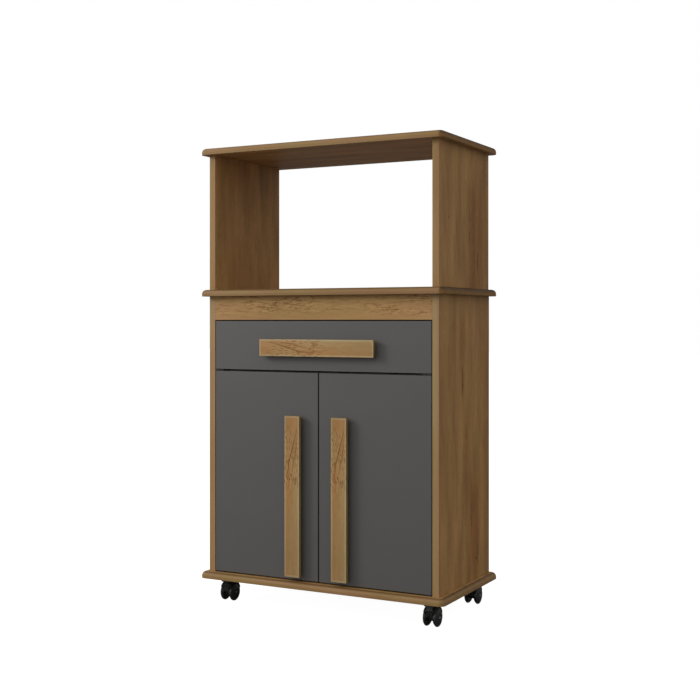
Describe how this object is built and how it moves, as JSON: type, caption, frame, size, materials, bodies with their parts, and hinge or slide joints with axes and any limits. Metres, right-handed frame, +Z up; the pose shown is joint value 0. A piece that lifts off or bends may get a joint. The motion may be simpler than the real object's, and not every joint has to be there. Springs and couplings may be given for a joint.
{
  "type": "kitchen storage cart",
  "caption": "Tall kitchen cart on twin-wheel casters: open bay for a microwave, drawer, cupboard with inset doors, boards with rolled edges and long strip handles.",
  "frame": {"origin": "on the floor under the middle of the cart", "axes": "+X to the right seen from the front, +Y to the back, +Z up; doors, drawer and handles face -Y"},
  "size_m": [0.603, 0.315, 1.035],
  "materials": {
    "oak_melamine": "oak-pattern melamine, satin",
    "graphite_lacquer": "graphite lacquer, matt",
    "white_melamine": "white melamine",
    "hardboard": "hardboard",
    "beech": "plain beech",
    "zinc_steel": "zinc-plated",
    "black_zinc": "black zinc-plated",
    "white_steel": "epoxy coated",
    "nylon": "moulded nylon",
    "black_plastic": "moulded, satin",
    "black_wheel": "moulded, satin"
  },
  "bodies": {
    "case": {"top_board": "oak_melamine", "middle_board": "oak_melamine", "base_board": "oak_melamine", "upper_side_left": "oak_melamine", "upper_side_right": "oak_melamine", "lower_side_left": "oak_melamine", "lower_side_right": "oak_melamine", "front_rail": "oak_melamine", "divider_rail": "oak_melamine", "back_panel": "hardboard", "inner_shelf": "oak_melamine", "shelf_pins": "zinc_steel", "dowels": "beech", "cam_bolts": "zinc_steel", "cam_locks": "zinc_steel", "cam_covers": "oak_melamine", "base_screws": "zinc_steel", "back_nails": "zinc_steel", "caster_mounts": "zinc_steel", "case_screws": "zinc_steel", "pivot_plates": "black_zinc", "magnetic_catch": "nylon", "case_runners": "white_steel"},
    "case_rollers": {"case_rollers": "nylon"},
    "drawer": {"drawer_front": "graphite_lacquer", "drawer_side_left": "white_melamine", "drawer_side_right": "white_melamine", "drawer_back": "white_melamine", "drawer_bottom": "white_melamine", "drawer_handle": "oak_melamine", "drawer_screws": "zinc_steel", "drawer_dowels": "beech", "drawer_runners": "white_steel"},
    "drawer_rollers": {"drawer_rollers": "nylon"},
    "left_door": {"door_left": "graphite_lacquer", "door_handle_left": "oak_melamine", "pivot_leaves_left": "black_zinc", "door_screws_left": "zinc_steel", "catch_strike_left": "zinc_steel"},
    "right_door": {"door_right": "graphite_lacquer", "door_handle_right": "oak_melamine", "pivot_leaves_right": "black_zinc", "door_screws_right": "zinc_steel", "catch_strike_right": "zinc_steel"},
    "caster_front_left": {"hood_front_left": "black_plastic", "axle_front_left": "zinc_steel"},
    "left_wheel_front_left": {"wheel_left_front_left": "black_wheel"},
    "right_wheel_front_left": {"wheel_right_front_left": "black_wheel"},
    "caster_front_right": {"hood_front_right": "black_plastic", "axle_front_right": "zinc_steel"},
    "left_wheel_front_right": {"wheel_left_front_right": "black_wheel"},
    "right_wheel_front_right": {"wheel_right_front_right": "black_wheel"},
    "caster_rear_left": {"hood_rear_left": "black_plastic", "axle_rear_left": "zinc_steel"},
    "left_wheel_rear_left": {"wheel_left_rear_left": "black_wheel"},
    "right_wheel_rear_left": {"wheel_right_rear_left": "black_wheel"},
    "caster_rear_right": {"hood_rear_right": "black_plastic", "axle_rear_right": "zinc_steel"},
    "left_wheel_rear_right": {"wheel_left_rear_right": "black_wheel"},
    "right_wheel_rear_right": {"wheel_right_rear_right": "black_wheel"}
  },
  "joints": [
    {"name": "drawer_slide", "type": "slide", "parent": "case", "child": "drawer", "axis": [0, -1, 0], "range_m": [0, 0.19]},
    {"name": "case_rollers_spin", "type": "hinge", "parent": "case", "child": "case_rollers", "pos_m": [0, -0.11375, 0.548], "axis": [1, 0, 0], "range_deg": [0, 1745]},
    {"name": "drawer_rollers_spin", "type": "hinge", "parent": "drawer", "child": "drawer_rollers", "pos_m": [0, 0.11375, 0.548], "axis": [1, 0, 0], "range_deg": [0, 1745]},
    {"name": "left_door_hinge", "type": "hinge", "parent": "case", "child": "left_door", "pos_m": [-0.262, -0.1365, 0.301], "axis": [0, 0, -1], "range_deg": [0, 110]},
    {"name": "right_door_hinge", "type": "hinge", "parent": "case", "child": "right_door", "pos_m": [0.262, -0.1365, 0.301], "axis": [0, 0, 1], "range_deg": [0, 110]},
    {"name": "swivel_front_left", "type": "hinge", "parent": "case", "child": "caster_front_left", "pos_m": [-0.254, -0.1145, 0.045], "axis": [0, 0, 1], "continuous": true},
    {"name": "roll_left_front_left", "type": "hinge", "parent": "caster_front_left", "child": "left_wheel_front_left", "pos_m": [-0.254, -0.103, 0.02], "axis": [1, 0, 0], "continuous": true},
    {"name": "roll_right_front_left", "type": "hinge", "parent": "caster_front_left", "child": "right_wheel_front_left", "pos_m": [-0.254, -0.103, 0.02], "axis": [1, 0, 0], "continuous": true},
    {"name": "swivel_front_right", "type": "hinge", "parent": "case", "child": "caster_front_right", "pos_m": [0.254, -0.1145, 0.045], "axis": [0, 0, 1], "continuous": true},
    {"name": "roll_left_front_right", "type": "hinge", "parent": "caster_front_right", "child": "left_wheel_front_right", "pos_m": [0.254, -0.103, 0.02], "axis": [1, 0, 0], "continuous": true},
    {"name": "roll_right_front_right", "type": "hinge", "parent": "caster_front_right", "child": "right_wheel_front_right", "pos_m": [0.254, -0.103, 0.02], "axis": [1, 0, 0], "continuous": true},
    {"name": "swivel_rear_left", "type": "hinge", "parent": "case", "child": "caster_rear_left", "pos_m": [-0.254, 0.1145, 0.045], "axis": [0, 0, 1], "continuous": true},
    {"name": "roll_left_rear_left", "type": "hinge", "parent": "caster_rear_left", "child": "left_wheel_rear_left", "pos_m": [-0.254, 0.126, 0.02], "axis": [1, 0, 0], "continuous": true},
    {"name": "roll_right_rear_left", "type": "hinge", "parent": "caster_rear_left", "child": "right_wheel_rear_left", "pos_m": [-0.254, 0.126, 0.02], "axis": [1, 0, 0], "continuous": true},
    {"name": "swivel_rear_right", "type": "hinge", "parent": "case", "child": "caster_rear_right", "pos_m": [0.254, 0.1145, 0.045], "axis": [0, 0, 1], "continuous": true},
    {"name": "roll_left_rear_right", "type": "hinge", "parent": "caster_rear_right", "child": "left_wheel_rear_right", "pos_m": [0.254, 0.126, 0.02], "axis": [1, 0, 0], "continuous": true},
    {"name": "roll_right_rear_right", "type": "hinge", "parent": "caster_rear_right", "child": "right_wheel_rear_right", "pos_m": [0.254, 0.126, 0.02], "axis": [1, 0, 0], "continuous": true}
  ],
  "couplings": [
    {"joint": "case_rollers_spin", "follows": "drawer_slide", "rad_per_m": 160},
    {"joint": "drawer_rollers_spin", "follows": "drawer_slide", "rad_per_m": 160}
  ]
}
